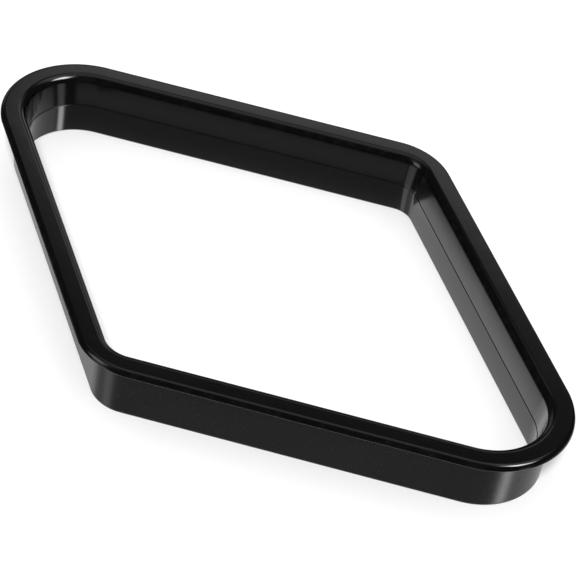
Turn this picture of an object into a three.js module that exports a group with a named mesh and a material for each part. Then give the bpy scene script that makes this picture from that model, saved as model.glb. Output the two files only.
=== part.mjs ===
// A diamond rack for nine billiard balls: two black plastic ring mouldings that snap together.
// The plan is a rhombus with 60 and 120 degree corners, all rounded. X runs along the long diagonal,
// Y along the short one, and Z up from the resting edge. Units are millimetres.

import * as THREE from "three";

// Heights above the surface that the rack rests on
const HEIGHT = 28.4;
const FLANGE_THICKNESS = 2.5;
const LEDGE_HEIGHT = 14.4;

// Offsets: how far a straight side of the ring lies from the centre, measured square to that side
const FLANGE_OUTER = 89.75;
const THROAT = 79.05;
const LEG_INNER_FOOT = 77.7;
const LEG_OUTER_FOOT = 79.5;
const LEG_OUTER_HEAD = 80.7;
const WALL_OUTER = 82.6;
const BAND_INNER_HEAD = 77.5;
const BAND_INNER_FOOT = 78.45;

// Roundings of the section's edges
const FLANGE_EDGE = 2.0;
const THROAT_EDGE = 3.35;
const LIP_UNDER_EDGE = 0.3;
const LEG_EDGE = 0.2;
const LEDGE_EDGE = 0.4;
const FOOT_EDGE = 0.6;

// How far two faces lean back from the vertical: the lip's rim, and the leg's inner face
const LIP_DRAFT = THREE.MathUtils.degToRad(15);
const LEG_LEAN = THREE.MathUtils.degToRad(7.5);

// The rim's leg nests inside the skirt with this clearance, and a snap ridge on the leg holds it there
const FIT_GAP = 0.3;
const RIDGE_HEIGHT = 20.0;
const RIDGE_HALF_SPAN = 1.1;
const RIDGE_PROUD = 0.5;

// Plan corners. A tip is a 60 degree corner and a shoulder is a 120 degree corner. The arcs of the ring's
// faces share one centre line, apart from the flange's shoulders and the foot of the lower band.
const TIP_INSET = 54.5;
const SHOULDER_INSET = 66.5;
const FLANGE_SHOULDER_EXTRA = 4.5;
const BAND_FOOT_SHOULDER_LESS = 2.0;
const TIP_SEGMENTS = 24;
const SHOULDER_SEGMENTS = 10;

// Flats in each rounding of the section
const EDGE_DIVISIONS = 2;

const RIGHT = 0;
const UP = Math.PI / 2;
const LEFT = Math.PI;
const DOWN = -Math.PI / 2;

const FLANGE_UNDERSIDE = HEIGHT - FLANGE_THICKNESS;
const LEG_FOOT = LEDGE_HEIGHT + FIT_GAP;
const WALL_HEAD = FLANGE_UNDERSIDE - FIT_GAP;

// The radius of the shoulders at a point of the section
function shoulderRadius(offset, height) {
  const alongFlange = (offset - WALL_OUTER) / (FLANGE_OUTER - WALL_OUTER);
  const flare = FLANGE_SHOULDER_EXTRA * Math.max(0, alongFlange);
  const onBand = offset < LEG_OUTER_FOOT && height < LEDGE_HEIGHT;
  const tighten = onBand ? BAND_FOOT_SHOULDER_LESS * (1 - height / LEDGE_HEIGHT) : 0;
  return offset - SHOULDER_INSET + flare - tighten;
}

// One rounded corner of the plan, as points from its first side to its second
function cornerPoints(offset, radius, facing, halfTurn, segments) {
  const centreDistance = (offset - radius) / Math.cos(halfTurn);
  const points = [];
  for (let i = 0; i <= segments; i += 1) {
    const angle = facing + halfTurn * ((2 * i) / segments - 1);
    const x = centreDistance * Math.cos(facing) + radius * Math.cos(angle);
    const y = centreDistance * Math.sin(facing) + radius * Math.sin(angle);
    points.push(new THREE.Vector2(x, y));
  }
  return points;
}

// The whole plan at one point of the section, anticlockwise from the tip on +X
function planPoints(offset, height) {
  const tipTurn = Math.PI / 3;
  const shoulderTurn = Math.PI / 6;
  const tip = offset - TIP_INSET;
  const shoulder = shoulderRadius(offset, height);
  return [
    ...cornerPoints(offset, tip, RIGHT, tipTurn, TIP_SEGMENTS),
    ...cornerPoints(offset, shoulder, UP, shoulderTurn, SHOULDER_SEGMENTS),
    ...cornerPoints(offset, tip, LEFT, tipTurn, TIP_SEGMENTS),
    ...cornerPoints(offset, shoulder, DOWN, shoulderTurn, SHOULDER_SEGMENTS),
  ];
}

// A closed ring: the section, whose x is an offset and y a height, swept round the plan
function ringGeometry(section) {
  const outline = section.getPoints(EDGE_DIVISIONS).slice(0, -1);
  const loops = outline.map((point) => planPoints(point.x, point.y));
  const perLoop = loops[0].length;
  const positions = [];
  loops.forEach((loop, row) => {
    loop.forEach((point) => positions.push(point.x, point.y, outline[row].y));
  });
  const indices = [];
  for (let row = 0; row < loops.length; row += 1) {
    const nextRow = (row + 1) % loops.length;
    for (let column = 0; column < perLoop; column += 1) {
      const nextColumn = (column + 1) % perLoop;
      const a = row * perLoop + column;
      const b = row * perLoop + nextColumn;
      const c = nextRow * perLoop + nextColumn;
      const d = nextRow * perLoop + column;
      indices.push(a, b, c, a, c, d);
    }
  }
  const geometry = new THREE.BufferGeometry();
  geometry.setAttribute("position", new THREE.Float32BufferAttribute(positions, 3));
  geometry.setIndex(indices);
  geometry.computeVertexNormals();
  return geometry;
}

// The offset of the leg's outer face at a height, and of the skirt's face that surrounds it
function legOuter(height) {
  const along = (height - LEG_FOOT) / (FLANGE_UNDERSIDE - LEG_FOOT);
  return LEG_OUTER_FOOT + along * (LEG_OUTER_HEAD - LEG_OUTER_FOOT);
}

// The snap ridge's outline, from one flank to the other, or its groove's outline when there is a clearance
function snapSteps(clearance, direction) {
  const spans = [-1, -0.4, 0.4, 1].map((share) => share * RIDGE_HALF_SPAN * direction);
  return spans.map((span, i) => {
    const height = RIDGE_HEIGHT + span + Math.sign(span) * clearance * 0.5;
    const proud = i === 1 || i === 2 ? RIDGE_PROUD : 0;
    return new THREE.Vector2(legOuter(height) + proud + clearance, height);
  });
}

// Top rim: the flange, and the leg that lines the upper half of the opening
function topRimSection() {
  const underEdgeOffset = FLANGE_OUTER - LIP_UNDER_EDGE;
  const underEdgeHeight = FLANGE_UNDERSIDE + LIP_UNDER_EDGE;
  const upperEdgeHeight = HEIGHT - FLANGE_EDGE;
  const leanBack = (upperEdgeHeight - underEdgeHeight) * Math.sin(LIP_DRAFT) + FLANGE_EDGE - LIP_UNDER_EDGE;
  const upperEdgeOffset = underEdgeOffset - leanBack / Math.cos(LIP_DRAFT);
  const section = new THREE.Path();
  section.moveTo(LEG_INNER_FOOT + LEG_EDGE, LEG_FOOT);
  section.lineTo(LEG_OUTER_FOOT, LEG_FOOT);
  snapSteps(0, 1).forEach((point) => section.lineTo(point.x, point.y));
  section.lineTo(LEG_OUTER_HEAD, FLANGE_UNDERSIDE);
  section.lineTo(underEdgeOffset, FLANGE_UNDERSIDE);
  section.absarc(underEdgeOffset, underEdgeHeight, LIP_UNDER_EDGE, DOWN, LIP_DRAFT, false);
  section.absarc(upperEdgeOffset, upperEdgeHeight, FLANGE_EDGE, LIP_DRAFT, UP, false);
  section.absarc(THROAT + THROAT_EDGE, HEIGHT - THROAT_EDGE, THROAT_EDGE, UP, LEFT - LEG_LEAN, false);
  section.lineTo(LEG_INNER_FOOT, LEG_FOOT + LEG_EDGE);
  section.lineTo(LEG_INNER_FOOT + LEG_EDGE, LEG_FOOT);
  return section;
}

// Skirt: the outer wall, and inside it the band that lines the lower half of the opening
function skirtSection() {
  const section = new THREE.Path();
  section.moveTo(BAND_INNER_FOOT + FOOT_EDGE, 0);
  section.lineTo(WALL_OUTER - FOOT_EDGE, 0);
  section.absarc(WALL_OUTER - FOOT_EDGE, FOOT_EDGE, FOOT_EDGE, DOWN, RIGHT, false);
  section.lineTo(WALL_OUTER, WALL_HEAD);
  section.lineTo(legOuter(WALL_HEAD) + FIT_GAP, WALL_HEAD);
  snapSteps(FIT_GAP, -1).forEach((point) => section.lineTo(point.x, point.y));
  section.lineTo(legOuter(LEDGE_HEIGHT) + FIT_GAP, LEDGE_HEIGHT);
  section.absarc(
    BAND_INNER_HEAD + LEDGE_EDGE, LEDGE_HEIGHT - LEDGE_EDGE, LEDGE_EDGE, UP, LEFT, false,
  );
  section.absarc(BAND_INNER_FOOT + FOOT_EDGE, FOOT_EDGE, FOOT_EDGE, LEFT, LEFT + UP, false);
  return section;
}

function ringMesh(name, section, plastic) {
  const mesh = new THREE.Mesh(ringGeometry(section), plastic);
  mesh.name = name;
  return mesh;
}

function blackPlastic(colour, roughness) {
  return new THREE.MeshStandardMaterial({ color: colour, roughness, metalness: 0 });
}

const rack = new THREE.Group();
rack.add(ringMesh("top_rim", topRimSection(), blackPlastic(0x141415, 0.3)));
rack.add(ringMesh("skirt", skirtSection(), blackPlastic(0x161617, 0.34)));

export default rack;
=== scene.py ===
"""A black diamond rack for pool balls, standing on a pale studio floor.

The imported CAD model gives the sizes. Both ring mouldings are swept again here with fine roundings.
"""

import math

import bpy
from mathutils import Matrix, Vector


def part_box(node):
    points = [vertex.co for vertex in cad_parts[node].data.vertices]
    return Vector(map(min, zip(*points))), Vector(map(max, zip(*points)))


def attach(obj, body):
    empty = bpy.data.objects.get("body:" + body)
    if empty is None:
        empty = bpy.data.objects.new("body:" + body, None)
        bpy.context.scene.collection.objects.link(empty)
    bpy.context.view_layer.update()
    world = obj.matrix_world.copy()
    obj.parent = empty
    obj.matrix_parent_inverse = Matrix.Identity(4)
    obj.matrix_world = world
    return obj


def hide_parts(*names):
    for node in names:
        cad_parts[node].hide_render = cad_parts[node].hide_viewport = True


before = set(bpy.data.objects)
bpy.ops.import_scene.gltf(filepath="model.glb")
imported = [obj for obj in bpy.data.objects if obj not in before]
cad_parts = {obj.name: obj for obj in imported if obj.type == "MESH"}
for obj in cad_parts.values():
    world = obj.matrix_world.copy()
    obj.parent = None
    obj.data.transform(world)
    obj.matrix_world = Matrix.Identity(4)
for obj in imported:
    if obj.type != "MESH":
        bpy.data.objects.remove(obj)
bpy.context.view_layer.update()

MM = 0.001

# Plan and section of the mouldings, as in the CAD model, in millimetres and degrees. An offset is a distance
# from the centre to a straight side. What the CAD boxes give is measured from them further down.
TIP_INSET = 54.5
SHOULDER_INSET = 66.5
FLANGE_SHOULDER_EXTRA = 4.5
BAND_FOOT_SHOULDER_LESS = 2.0
FLANGE_THICKNESS = 2.5
THROAT = 79.05
LEG_INNER_FOOT = 77.7
LEG_OUTER_FOOT = 79.5
LEG_OUTER_HEAD = 80.7
BAND_INNER_HEAD = 77.5
BAND_INNER_FOOT = 78.45
FIT_GAP = 0.3
FLANGE_EDGE = 2.0
THROAT_EDGE = 3.35
LIP_UNDER_EDGE = 0.3
FOOT_EDGE = 0.6
LIP_DRAFT = 15.0

# Where the visual mouldings differ from the CAD: the seam closes to a hairline between sharper edges, the leg
# leans back more the higher it gets, and the band flares more the lower it gets
SEAM_GAP = 0.05
LEG_EDGE = 0.1
LEDGE_EDGE = 0.25
LEG_LEAN_AT_FOOT = 6.0
LEG_LEAN_AT_HEAD = 8.5
BAND_FLARE_EVENNESS = 0.55

# Measured from the frame
rim_low, rim_high = (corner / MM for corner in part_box("top_rim"))
skirt_low, skirt_high = (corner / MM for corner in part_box("skirt"))
HEIGHT = rim_high.z
FLANGE_OUTER = rim_high.x - TIP_INSET
FLANGE_UNDERSIDE = HEIGHT - FLANGE_THICKNESS
LEG_FOOT = rim_low.z
LEDGE_HEIGHT = LEG_FOOT - SEAM_GAP
WALL_OUTER = skirt_high.x - TIP_INSET
WALL_HEAD = skirt_high.z

# Fineness of the sweep
TIP_STEPS = 72
SHOULDER_STEPS = 36
SIDE_STEPS = 24
FACE_STEPS = 12
EDGE_STEP_DEGREES = 7.5
SHARP_EDGE_DEGREES = 40

# The plastic: black with a trace of blue. Each moulding has a roughness inside the ring and one outside it.
PLASTIC_IOR = 1.45
BLUE_TINT = 1.08
RIM_ROUGHNESS = (0.13, 0.14)
SKIRT_ROUGHNESS = (0.12, 0.27)

# Azimuths run from +Y towards +X, in degrees. The camera looks at the rack from in front and to the right,
# rolled clockwise.
CAMERA_AIM = Vector((4.1, 8.5, 5.2)) * MM
CAMERA_AZIMUTH = 145.10
CAMERA_ELEVATION = 41.25
CAMERA_ROLL = 11.22
CAMERA_DISTANCE = 914.7 * MM
CAMERA_LENS = 140.6

# The floor, in metres
FLOOR_HALF_SIDE = 6.0
FLOOR_GREY = 0.85
FLOOR_ROUGHNESS = 0.6

# The studio, seen from the rack. The gloss reflects soft boxes in a dark room, and an even light falls on
# everything else.
STUDIO_DARK = 0.045
EVEN_LIGHT = 0.75

# A soft box has a name, its azimuth and elevation, its half width and half height, the soft edges of its
# sides and of its top and bottom, all in degrees, and its brightness. Those below the horizon stand for the
# bright parts of the table that the walls reflect.
SOFT_BOXES = [
    ("key", 76, 54, 11, 7, 9, 7, 30.0),
    ("key_glow", 40, 62, 40, 4, 14, 12, 1.2),
    ("left_strip", -152, 16, 6, 14, 12, 16, 3.2),
    ("left_strip_top", -150, 48, 16, 8, 14, 14, 0.45),
    ("far_ceiling", -40, 60, 30, 6, 8, 8, 0.2),
    ("far_window", -35, 35, 7, 2, 6, 3, 0.95),
    ("far_slope", -25, 34, 16, 3, 8, 9, 0.25),
    ("far_left_bar", -65, 9, 7, 14, 9, 9, 0.45),
    ("far_right_bar", -20, 11, 4, 4, 8, 10, 0.9),
    ("table_left", -62, -45, 37, 13, 14, 6, 0.9),
    ("table_left_rim", -88, -35, 18, 4, 12, 3, 0.6),
    ("table_left_low", -85, -60, 25, 6, 12, 6, 0.4),
    ("table_far", 20, -42, 45, 12, 12, 12, 0.95),
    ("table_right_strip", 83, -43, 3, 8, 6, 6, 7.5),
    ("table_right_strip_top", 87, -25, 4, 4, 5, 7, 1.3),
    ("table_near_left", -155, -48, 7, 10, 10, 11, 1.5),
    ("table_near", 140, -47, 60, 12, 14, 8, 0.24),
    ("table_near_low", 140, -62, 60, 8, 14, 8, 0.4),
    ("table_below", 0, -90, 180, 22, 10, 12, 1.9),
    ("table_near_gleam", 148, -23, 25, 1, 12, 5, 0.5),
    ("table_low_left", -120, -48, 18, 11, 12, 8, 0.6),
    ("table_edge_left", -160, -26, 9, 4, 12, 8, 1.2),
]

# A round patch of lit ceiling, nearly overhead: azimuth, elevation, radius, soft edge, brightness
CEILING = (-40, 78, 12, 22, 0.74)

# A soft sun from the camera's side adds to the even light on the floor
SUN_AZIMUTH = 148
SUN_ELEVATION = 54
SUN_SPREAD = 10
SUN_STRENGTH = 2.9


def shoulder_radius(offset, height):
    """Radius of the 120 degree corners at a point of the section."""
    along_flange = (offset - WALL_OUTER) / (FLANGE_OUTER - WALL_OUTER)
    flare = FLANGE_SHOULDER_EXTRA * max(0.0, along_flange)
    tighten = 0.0
    if offset < LEG_OUTER_FOOT and height < LEDGE_HEIGHT:
        tighten = BAND_FOOT_SHOULDER_LESS * (1 - height / LEDGE_HEIGHT)
    return offset - SHOULDER_INSET + flare - tighten


def corner_points(offset, radius, facing, half_turn, steps):
    """One rounded corner of the plan, from its first side to its second."""
    centre = (offset - radius) / math.cos(half_turn)
    points = []
    for i in range(steps + 1):
        angle = facing + half_turn * (2 * i / steps - 1)
        x = centre * math.cos(facing) + radius * math.cos(angle)
        y = centre * math.sin(facing) + radius * math.sin(angle)
        points.append(Vector((x, y)))
    return points


def plan_points(offset, height):
    """The whole plan at one point of the section, anticlockwise from the tip on +X."""
    tip_turn = math.pi / 3
    shoulder_turn = math.pi / 6
    tip = offset - TIP_INSET
    shoulder = shoulder_radius(offset, height)
    corners = [
        corner_points(offset, tip, 0, tip_turn, TIP_STEPS),
        corner_points(offset, shoulder, math.pi / 2, shoulder_turn, SHOULDER_STEPS),
        corner_points(offset, tip, math.pi, tip_turn, TIP_STEPS),
        corner_points(offset, shoulder, -math.pi / 2, shoulder_turn, SHOULDER_STEPS),
    ]
    points = []
    for i, corner in enumerate(corners):
        after = corners[(i + 1) % 4][0]
        side = [corner[-1].lerp(after, step / SIDE_STEPS) for step in range(1, SIDE_STEPS)]
        points += corner + side
    return points


def arc(centre_x, centre_y, radius, start, end):
    """Points of a rounding in the section, both ends included. Angles are in degrees."""
    count = max(2, round(abs(end - start) / EDGE_STEP_DEGREES))
    points = []
    for i in range(count + 1):
        angle = math.radians(start + (end - start) * i / count)
        points.append((centre_x + radius * math.cos(angle), centre_y + radius * math.sin(angle)))
    return points


def leg_outer(height):
    """Offset of the leg's outer face at a height."""
    along = (height - LEG_FOOT) / (FLANGE_UNDERSIDE - LEG_FOOT)
    return LEG_OUTER_FOOT + along * (LEG_OUTER_HEAD - LEG_OUTER_FOOT)


def leg_inner_face():
    """The leg's inner face from its head down to its foot, leaning back less and less."""
    foot_height = LEG_FOOT + LEG_EDGE
    lean = math.radians(LEG_LEAN_AT_HEAD)
    head_height = HEIGHT - THROAT_EDGE + THROAT_EDGE * math.sin(lean)
    head_offset = THROAT + THROAT_EDGE * (1 - math.cos(lean))
    rise = head_height - foot_height
    slope = math.tan(math.radians(LEG_LEAN_AT_FOOT))
    bend = (head_offset - LEG_INNER_FOOT - slope * rise) / rise**2
    points = []
    for i in range(1, FACE_STEPS + 1):
        above = rise * (1 - i / FACE_STEPS)
        points.append((LEG_INNER_FOOT + slope * above + bend * above**2, foot_height + above))
    return points


def rim_section():
    """The flange and the leg that lines the upper half of the opening."""
    under_offset = FLANGE_OUTER - LIP_UNDER_EDGE
    under_height = FLANGE_UNDERSIDE + LIP_UNDER_EDGE
    upper_height = HEIGHT - FLANGE_EDGE
    draft = math.radians(LIP_DRAFT)
    lean_back = (upper_height - under_height) * math.sin(draft) + FLANGE_EDGE - LIP_UNDER_EDGE
    upper_offset = under_offset - lean_back / math.cos(draft)
    throat_end = 180 - LEG_LEAN_AT_HEAD
    return [
        (LEG_INNER_FOOT + LEG_EDGE, LEG_FOOT),
        (LEG_OUTER_FOOT, LEG_FOOT),
        (LEG_OUTER_HEAD, FLANGE_UNDERSIDE),
        *arc(under_offset, under_height, LIP_UNDER_EDGE, -90, LIP_DRAFT),
        *arc(upper_offset, upper_height, FLANGE_EDGE, LIP_DRAFT, 90),
        *arc(THROAT + THROAT_EDGE, HEIGHT - THROAT_EDGE, THROAT_EDGE, 90, throat_end),
        *leg_inner_face(),
        # The rounding's own ends are the points on either side of this
        *arc(LEG_INNER_FOOT + LEG_EDGE, LEG_FOOT + LEG_EDGE, LEG_EDGE, 200, 255),
    ]


def band_inner_face():
    """The band's inner face from under its ledge down to its foot, flaring more and more."""
    head_height = LEDGE_HEIGHT - LEDGE_EDGE
    drop = head_height - FOOT_EDGE
    flare = BAND_INNER_FOOT - BAND_INNER_HEAD
    points = []
    for i in range(1, FACE_STEPS):
        down = i / FACE_STEPS
        share = BAND_FLARE_EVENNESS * down + (1 - BAND_FLARE_EVENNESS) * down**2
        points.append((BAND_INNER_HEAD + flare * share, head_height - drop * down))
    return points


def skirt_section():
    """The outer wall and the band that lines the lower half of the opening."""
    return [
        *arc(WALL_OUTER - FOOT_EDGE, FOOT_EDGE, FOOT_EDGE, -90, 0),
        (WALL_OUTER, WALL_HEAD),
        (leg_outer(WALL_HEAD) + FIT_GAP, WALL_HEAD),
        (leg_outer(LEDGE_HEIGHT) + FIT_GAP, LEDGE_HEIGHT),
        *arc(BAND_INNER_HEAD + LEDGE_EDGE, LEDGE_HEIGHT - LEDGE_EDGE, LEDGE_EDGE, 90, 180),
        *band_inner_face(),
        *arc(BAND_INNER_FOOT + FOOT_EDGE, FOOT_EDGE, FOOT_EDGE, 180, 270),
    ]


def ring_piece(name, node, section, material):
    """A section swept round the plan, riding on the root body in place of its CAD node."""
    loops = [plan_points(offset, height) for offset, height in section]
    per_loop = len(loops[0])
    vertices = []
    for (_, height), loop in zip(section, loops):
        vertices += [(point.x * MM, point.y * MM, height * MM) for point in loop]
    faces = []
    for row in range(len(loops)):
        next_row = (row + 1) % len(loops)
        for column in range(per_loop):
            next_column = (column + 1) % per_loop
            faces.append((
                row * per_loop + column,
                row * per_loop + next_column,
                next_row * per_loop + next_column,
                next_row * per_loop + column,
            ))
    mesh = bpy.data.meshes.new(name)
    mesh.from_pydata(vertices, [], faces)
    mesh.shade_smooth()
    mesh.set_sharp_from_angle(angle=math.radians(SHARP_EDGE_DEGREES))
    piece = bpy.data.objects.new(name, mesh)
    bpy.context.scene.collection.objects.link(piece)
    weighted = piece.modifiers.new("face_weighted_normals", "WEIGHTED_NORMAL")
    weighted.keep_sharp = True
    weighted.weight = 100
    mesh.materials.append(material)
    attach(piece, "root")
    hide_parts(node)


def value_node(tree, operation, *values):
    """A Math node whose inputs are sockets or numbers. Returns its output."""
    node = tree.nodes.new("ShaderNodeMath")
    node.operation = operation
    for socket, value in zip(node.inputs, values):
        if isinstance(value, bpy.types.NodeSocket):
            tree.links.new(value, socket)
        else:
            socket.default_value = value
    return node.outputs["Value"]


def smooth_step(tree, value, zero_at, one_at):
    """0 at one value and 1 at another, clamped, with a smooth step between them."""
    node = tree.nodes.new("ShaderNodeMapRange")
    node.interpolation_type = "SMOOTHSTEP"
    tree.links.new(value, node.inputs["Value"])
    node.inputs["From Min"].default_value = zero_at
    node.inputs["From Max"].default_value = one_at
    return node.outputs["Result"]


def total(tree, first, *others):
    """The sum of several sockets or numbers."""
    result = first
    for other in others:
        result = value_node(tree, "ADD", result, other)
    return result


def axes(tree, vector):
    """The X, Y and Z of a vector."""
    node = tree.nodes.new("ShaderNodeSeparateXYZ")
    tree.links.new(vector, node.inputs["Vector"])
    return node.outputs["X"], node.outputs["Y"], node.outputs["Z"]


def blend(tree, factor, low, high):
    """A value that goes from low to high, which are numbers, as the factor goes from 0 to 1."""
    return value_node(tree, "MULTIPLY_ADD", factor, high - low, low)


def noise(tree, place, scale, stretch=(1, 1, 1), detail=2.0):
    """Noise from 0 to 1 in millimetre space. A scale of 1 makes blotches about a millimetre across."""
    mapping = tree.nodes.new("ShaderNodeMapping")
    mapping.inputs["Scale"].default_value = [1000 * share for share in stretch]
    tree.links.new(place, mapping.inputs["Vector"])
    node = tree.nodes.new("ShaderNodeTexNoise")
    node.inputs["Scale"].default_value = scale
    node.inputs["Detail"].default_value = detail
    tree.links.new(mapping.outputs["Vector"], node.inputs["Vector"])
    return node.outputs["Fac"]


def bump(tree, height, distance, below=None):
    """A bump layer whose height runs over a distance in metres, on top of the layer below it."""
    node = tree.nodes.new("ShaderNodeBump")
    node.inputs["Distance"].default_value = distance
    tree.links.new(height, node.inputs["Height"])
    if below is not None:
        tree.links.new(below, node.inputs["Normal"])
    return node.outputs["Normal"]


def whereabouts(tree, place):
    """Masks that are 1 on the outer faces, in the middle of each rounding, and at the resting edge."""
    geometry = tree.nodes.new("ShaderNodeNewGeometry")
    place_x, place_y, place_z = axes(tree, place)
    normal_x, normal_y, normal_z = axes(tree, geometry.outputs["Normal"])
    along_x = value_node(tree, "MULTIPLY", place_x, normal_x)
    facing_out = value_node(tree, "MULTIPLY_ADD", place_y, normal_y, along_x)
    outside = smooth_step(tree, facing_out, zero_at=0.0, one_at=30 * MM)
    level = value_node(tree, "ABSOLUTE", normal_z)
    upright = value_node(tree, "SUBTRACT", 1.0, level)
    edge = value_node(tree, "MULTIPLY", upright, value_node(tree, "MULTIPLY", level, 4.0))
    foot = smooth_step(tree, place_z, zero_at=1.5 * MM, one_at=0.0)
    return outside, edge, foot


def black_plastic(name, inside_roughness, outside_roughness):
    """Black moulded plastic: glossy, a little wavy, rubbed along its edges, with hairlines from handling."""
    material = bpy.data.materials.new(name)
    material.use_nodes = True
    tree = material.node_tree
    shader = tree.nodes["Principled BSDF"]
    shader.inputs["IOR"].default_value = PLASTIC_IOR
    place = tree.nodes.new("ShaderNodeTexCoord").outputs["Object"]
    outside, edge, foot = whereabouts(tree, place)

    # Detail, from the widest to the finest
    cloud = noise(tree, place, scale=0.03)
    wave = noise(tree, place, scale=0.09, detail=1.0)
    patches = noise(tree, place, scale=0.25, detail=4.0)
    rubbed = smooth_step(tree, patches, zero_at=0.45, one_at=0.7)
    streaks = noise(tree, place, scale=0.35, stretch=(0.25, 3.2, 1.0), detail=5.0)
    hairlines = smooth_step(tree, streaks, zero_at=0.66, one_at=0.72)
    grain = noise(tree, place, scale=1.6, detail=4.0)
    worn = value_node(tree, "MULTIPLY", edge, rubbed)
    scuffed = value_node(tree, "MULTIPLY", foot, rubbed)

    roughness = total(
        tree,
        blend(tree, outside, inside_roughness, outside_roughness),
        blend(tree, cloud, -0.02, 0.02),
        blend(tree, grain, -0.015, 0.015),
        blend(tree, worn, 0.0, 0.03),
        blend(tree, hairlines, 0.0, 0.05),
        blend(tree, scuffed, 0.0, 0.2),
    )
    tree.links.new(roughness, shader.inputs["Roughness"])

    shade = total(
        tree,
        blend(tree, cloud, 0.001, 0.002),
        blend(tree, worn, 0.0, 0.002),
        blend(tree, hairlines, 0.0, 0.0015),
        blend(tree, scuffed, 0.0, 0.008),
    )
    colour = tree.nodes.new("ShaderNodeCombineColor")
    tree.links.new(shade, colour.inputs["Red"])
    tree.links.new(shade, colour.inputs["Green"])
    tree.links.new(value_node(tree, "MULTIPLY", shade, BLUE_TINT), colour.inputs["Blue"])
    tree.links.new(colour.outputs["Color"], shader.inputs["Base Color"])

    unscratched = value_node(tree, "SUBTRACT", 1.0, hairlines)
    wavy = bump(tree, wave, 0.03 * MM)
    grained = bump(tree, grain, 0.0015 * MM, wavy)
    scratched = bump(tree, unscratched, 0.002 * MM, grained)
    tree.links.new(scratched, shader.inputs["Normal"])
    return material


def towards(azimuth, elevation):
    """A unit vector that points from the rack towards a place in the studio."""
    turn = math.radians(azimuth)
    rise = math.radians(elevation)
    return Vector((math.sin(turn) * math.cos(rise), math.cos(turn) * math.cos(rise), math.sin(rise)))


def make_camera():
    """At the photograph's viewing angle."""
    data = bpy.data.cameras.new("camera")
    data.lens = CAMERA_LENS
    camera = bpy.data.objects.new("camera", data)
    bpy.context.scene.collection.objects.link(camera)
    back = towards(CAMERA_AZIMUTH, CAMERA_ELEVATION)
    turn = (-back).to_track_quat("-Z", "Y").to_matrix().to_4x4()
    roll = Matrix.Rotation(math.radians(CAMERA_ROLL), 4, "Z")
    camera.matrix_world = Matrix.Translation(CAMERA_AIM + back * CAMERA_DISTANCE) @ turn @ roll
    bpy.context.scene.camera = camera


def make_floor():
    """Plain and pale. The gloss reflects the studio in its place."""
    mesh = bpy.data.meshes.new("floor")
    half = FLOOR_HALF_SIDE
    corners = [(-half, -half, 0), (half, -half, 0), (half, half, 0), (-half, half, 0)]
    mesh.from_pydata(corners, [], [(0, 1, 2, 3)])
    floor = bpy.data.objects.new("floor", mesh)
    bpy.context.scene.collection.objects.link(floor)
    material = bpy.data.materials.new("floor_paint")
    material.use_nodes = True
    shader = material.node_tree.nodes["Principled BSDF"]
    shader.inputs["Base Color"].default_value = (FLOOR_GREY, FLOOR_GREY, FLOOR_GREY, 1)
    shader.inputs["Roughness"].default_value = FLOOR_ROUGHNESS
    mesh.materials.append(material)
    floor.visible_glossy = False


def soft_box(tree, azimuth, elevation, box):
    """The brightness that one soft box gives in each direction."""
    _, box_azimuth, box_elevation, half_width, half_height, soft_sides, soft_ends, brightness = box
    turn = value_node(tree, "SUBTRACT", azimuth, box_azimuth)
    across = value_node(tree, "ABSOLUTE", value_node(tree, "WRAP", turn, 180, -180))
    rise = value_node(tree, "SUBTRACT", elevation, box_elevation)
    up = value_node(tree, "ABSOLUTE", rise)
    shape = value_node(
        tree, "MULTIPLY",
        smooth_step(tree, across, half_width + soft_sides, half_width),
        smooth_step(tree, up, half_height + soft_ends, half_height),
    )
    return value_node(tree, "MULTIPLY", shape, brightness)


def ceiling_patch(tree, direction):
    """The brightness that the lit patch of ceiling gives in each direction."""
    azimuth, elevation, radius, soft_edge, brightness = CEILING
    dot = tree.nodes.new("ShaderNodeVectorMath")
    dot.operation = "DOT_PRODUCT"
    tree.links.new(direction, dot.inputs[0])
    dot.inputs[1].default_value = towards(azimuth, elevation)
    away = value_node(tree, "DEGREES", value_node(tree, "ARCCOSINE", dot.outputs["Value"]))
    return value_node(tree, "MULTIPLY", smooth_step(tree, away, radius + soft_edge, radius), brightness)


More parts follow.
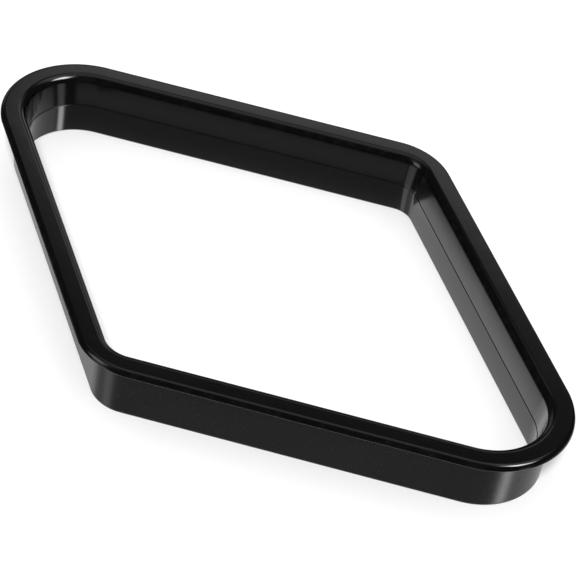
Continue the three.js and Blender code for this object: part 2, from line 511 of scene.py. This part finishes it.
def studio(tree):
    """The brightness of the whole studio in each direction."""
    direction = tree.nodes.new("ShaderNodeTexCoord").outputs["Generated"]
    x, y, z = axes(tree, direction)
    azimuth = value_node(tree, "DEGREES", value_node(tree, "ARCTAN2", x, y))
    elevation = value_node(tree, "DEGREES", value_node(tree, "ARCSINE", z))
    brightness = value_node(tree, "ADD", ceiling_patch(tree, direction), STUDIO_DARK)
    for box in SOFT_BOXES:
        brightness = value_node(tree, "ADD", soft_box(tree, azimuth, elevation, box), brightness)
    return brightness


def make_world():
    """The gloss reflects the soft boxes. The camera sees plain white, and all else is lit evenly."""
    world = bpy.data.worlds.new("studio")
    world.use_nodes = True
    # Each kind of ray sees another world, so there is no one picture of it to sample
    world.cycles.sampling_method = "NONE"
    bpy.context.scene.world = world
    tree = world.node_tree
    ray = tree.nodes.new("ShaderNodeLightPath")
    plain = blend(tree, ray.outputs["Is Camera Ray"], EVEN_LIGHT, 1.0)
    even = tree.nodes["Background"]
    even.inputs["Color"].default_value = (1, 1, 1, 1)
    tree.links.new(plain, even.inputs["Strength"])
    reflected = tree.nodes.new("ShaderNodeBackground")
    tree.links.new(studio(tree), reflected.inputs["Strength"])
    mix = tree.nodes.new("ShaderNodeMixShader")
    tree.links.new(ray.outputs["Is Glossy Ray"], mix.inputs["Fac"])
    tree.links.new(even.outputs["Background"], mix.inputs[1])
    tree.links.new(reflected.outputs["Background"], mix.inputs[2])
    tree.links.new(mix.outputs["Shader"], tree.nodes["World Output"].inputs["Surface"])


def make_sun():
    """A soft sun for the floor. The gloss does not show it."""
    data = bpy.data.lights.new("sun", "SUN")
    data.energy = SUN_STRENGTH
    data.angle = math.radians(SUN_SPREAD)
    sun = bpy.data.objects.new("sun", data)
    bpy.context.scene.collection.objects.link(sun)
    back = towards(SUN_AZIMUTH, SUN_ELEVATION)
    sun.rotation_euler = (-back).to_track_quat("-Z", "Y").to_euler()
    sun.visible_glossy = False


bpy.context.scene.view_settings.view_transform = "Standard"
make_camera()
make_floor()
make_world()
make_sun()
rim_black = black_plastic("rim_black", *RIM_ROUGHNESS)
skirt_black = black_plastic("skirt_black", *SKIRT_ROUGHNESS)
ring_piece("top_rim_moulding", "top_rim", rim_section(), rim_black)
ring_piece("skirt_moulding", "skirt", skirt_section(), skirt_black)
